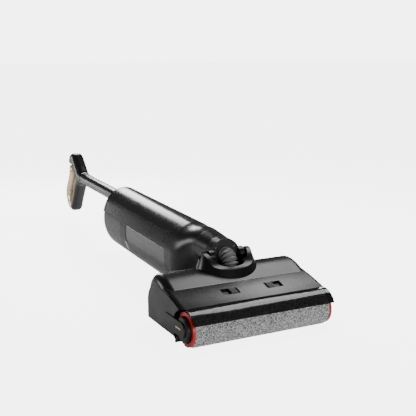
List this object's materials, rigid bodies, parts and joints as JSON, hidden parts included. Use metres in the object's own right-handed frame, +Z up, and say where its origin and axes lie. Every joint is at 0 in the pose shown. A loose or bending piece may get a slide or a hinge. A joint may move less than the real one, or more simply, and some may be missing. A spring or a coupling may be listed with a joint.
{
  "type": "wet dry floor scrubber",
  "caption": "Cordless wet dry floor scrubber lying flat: roller head with lift-off cover, pitching and swivelling neck, oval body with clear tank, loop handle.",
  "frame": {"origin": "bottom centre of the bounding box, on the floor under the middle of the machine", "axes": "+Z up, +Y from the cleaning head towards the handle, +X to the right seen from the head"},
  "size_m": [0.2943, 1.1353, 0.206],
  "materials": {
    "black_satin": "satin black moulded shell",
    "black_gloss": "piano black",
    "black_matte": "fine spark-eroded dark grey",
    "rubber_black": "matte black rubber",
    "red_trim": "bright red",
    "champagne": "glossy champagne gold",
    "smoke_clear": "smoked clear plastic",
    "tank_clear": "smoked clear tank",
    "pile_grey": "grey speckled short pile",
    "steel": "plain steel",
    "grey_plastic": "light grey moulded plastic",
    "bright_tab": "pale tab",
    "battery_green": "battery sleeve",
    "board_green": "circuit board"
  },
  "bodies": {
    "head": {"chassis": "black_matte", "head_top_cover": "black_satin", "side_panel_left": "black_matte", "side_panel_right": "black_matte", "collar": "black_satin", "pivot_pins": "steel", "wheel_axles": "steel", "brush_motor": "steel", "drive_belt": "rubber_black", "squeegee": "rubber_black", "roller_scraper": "rubber_black", "suction_duct": "grey_plastic", "chassis_screws": "steel", "drive_arm": "black_matte", "hose": "rubber_black"},
    "left_wheel": {"wheel_left": "black_matte", "tyre_left": "rubber_black"},
    "right_wheel": {"wheel_right": "black_matte", "tyre_right": "rubber_black"},
    "drive_shaft": {"drive_dog": "black_matte"},
    "motor_rotor": {"motor_pulley": "steel"},
    "cover": {"roller_cover": "black_gloss", "clear_visor": "smoke_clear", "latch_well_left": "black_matte", "latch_well_right": "black_matte"},
    "latch_left": {"latch_slider_left": "black_matte"},
    "latch_right": {"latch_slider_right": "black_matte"},
    "cartridge": {"end_cap": "black_matte", "end_cap_mark": "champagne"},
    "roller": {"roller_core": "black_matte", "roller_pile": "pile_grey", "roller_ring_left": "red_trim", "roller_ring_right": "red_trim", "roller_bearing": "steel"},
    "neck": {"neck_shell": "black_satin", "neck_face": "black_matte", "neck_screws": "steel", "swivel_ring": "black_matte"},
    "body": {"body_shell": "black_satin", "front_panel": "black_gloss", "rear_dome": "black_satin", "battery_cells": "battery_green", "circuit_board": "board_green", "suction_motor": "steel", "water_pump": "grey_plastic", "filter": "grey_plastic", "handle_tube": "black_gloss", "handle_body": "black_gloss", "handle_grip": "champagne"},
    "fan": {"suction_fan": "grey_plastic"},
    "tank": {"clean_tank": "tank_clear", "tank_cap": "black_satin", "fill_plug": "bright_tab", "tank_rail_left": "tank_clear", "tank_rail_right": "tank_clear", "inner_reservoir": "grey_plastic"},
    "tank_button": {"tank_latch": "black_matte"},
    "power_key": {"power_button": "black_matte"},
    "mode_key": {"mode_button": "black_matte"}
  },
  "joints": [
    {"name": "neck_pitch", "type": "hinge", "parent": "head", "child": "neck", "pos_m": [0, -0.417, 0.1174], "axis": [1, 0, 0], "range_deg": [-1.6, 88], "deforming": ["hose"]},
    {"name": "body_swivel", "type": "hinge", "parent": "neck", "child": "body", "pos_m": [0, -0.417, 0.1174], "axis": [0, 0.9996, 0.0284], "range_deg": [-45, 45]},
    {"name": "end_cap_pull", "type": "slide", "parent": "head", "child": "cartridge", "axis": [-1, 0, 0], "range_m": [0, 0.29]},
    {"name": "roller_spin", "type": "hinge", "parent": "cartridge", "child": "roller", "pos_m": [0, -0.5357, 0.032], "axis": [1, 0, 0], "continuous": true},
    {"name": "drive_spin", "type": "hinge", "parent": "head", "child": "drive_shaft", "pos_m": [0, -0.5357, 0.032], "axis": [1, 0, 0], "continuous": true},
    {"name": "motor_spin", "type": "hinge", "parent": "head", "child": "motor_rotor", "pos_m": [0, -0.469, 0.04], "axis": [1, 0, 0], "continuous": true},
    {"name": "cover_lift", "type": "slide", "parent": "head", "child": "cover", "axis": [0, 0, 1], "range_m": [0, 0.08]},
    {"name": "latch_left_press", "type": "slide", "parent": "cover", "child": "latch_left", "axis": [1, 0, 0], "range_m": [0, 0.003], "stiffness_N_per_m": 300, "springref_m": -0.001},
    {"name": "latch_right_press", "type": "slide", "parent": "cover", "child": "latch_right", "axis": [-1, 0, 0], "range_m": [0, 0.003], "stiffness_N_per_m": 300, "springref_m": -0.001},
    {"name": "left_wheel_spin", "type": "hinge", "parent": "head", "child": "left_wheel", "pos_m": [0, -0.407, 0.017], "axis": [1, 0, 0], "continuous": true},
    {"name": "right_wheel_spin", "type": "hinge", "parent": "head", "child": "right_wheel", "pos_m": [0, -0.407, 0.017], "axis": [1, 0, 0], "continuous": true},
    {"name": "tank_removal", "type": "slide", "parent": "body", "child": "tank", "axis": [0, 0.0284, -0.9996], "range_m": [0, 0.12]},
    {"name": "tank_latch_press", "type": "slide", "parent": "tank", "child": "tank_button", "axis": [1, 0, 0], "range_m": [0, 0.0015], "stiffness_N_per_m": 600, "springref_m": -0.001},
    {"name": "fan_spin", "type": "hinge", "parent": "body", "child": "fan", "pos_m": [0, -0.41706, 0.1194], "axis": [0, 0.9996, 0.0284], "continuous": true},
    {"name": "power_press", "type": "slide", "parent": "body", "child": "power_key", "axis": [0, 0.7269, -0.6867], "range_m": [0, 0.0012], "stiffness_N_per_m": 500, "springref_m": -0.001},
    {"name": "mode_press", "type": "slide", "parent": "body", "child": "mode_key", "axis": [0, 0.8129, 0.5824], "range_m": [0, 0.0012], "stiffness_N_per_m": 500, "springref_m": -0.001}
  ],
  "couplings": [
    {"joint": "drive_spin", "follows": "roller_spin", "ratio": 1},
    {"joint": "motor_spin", "follows": "roller_spin", "ratio": 1.75}
  ]
}
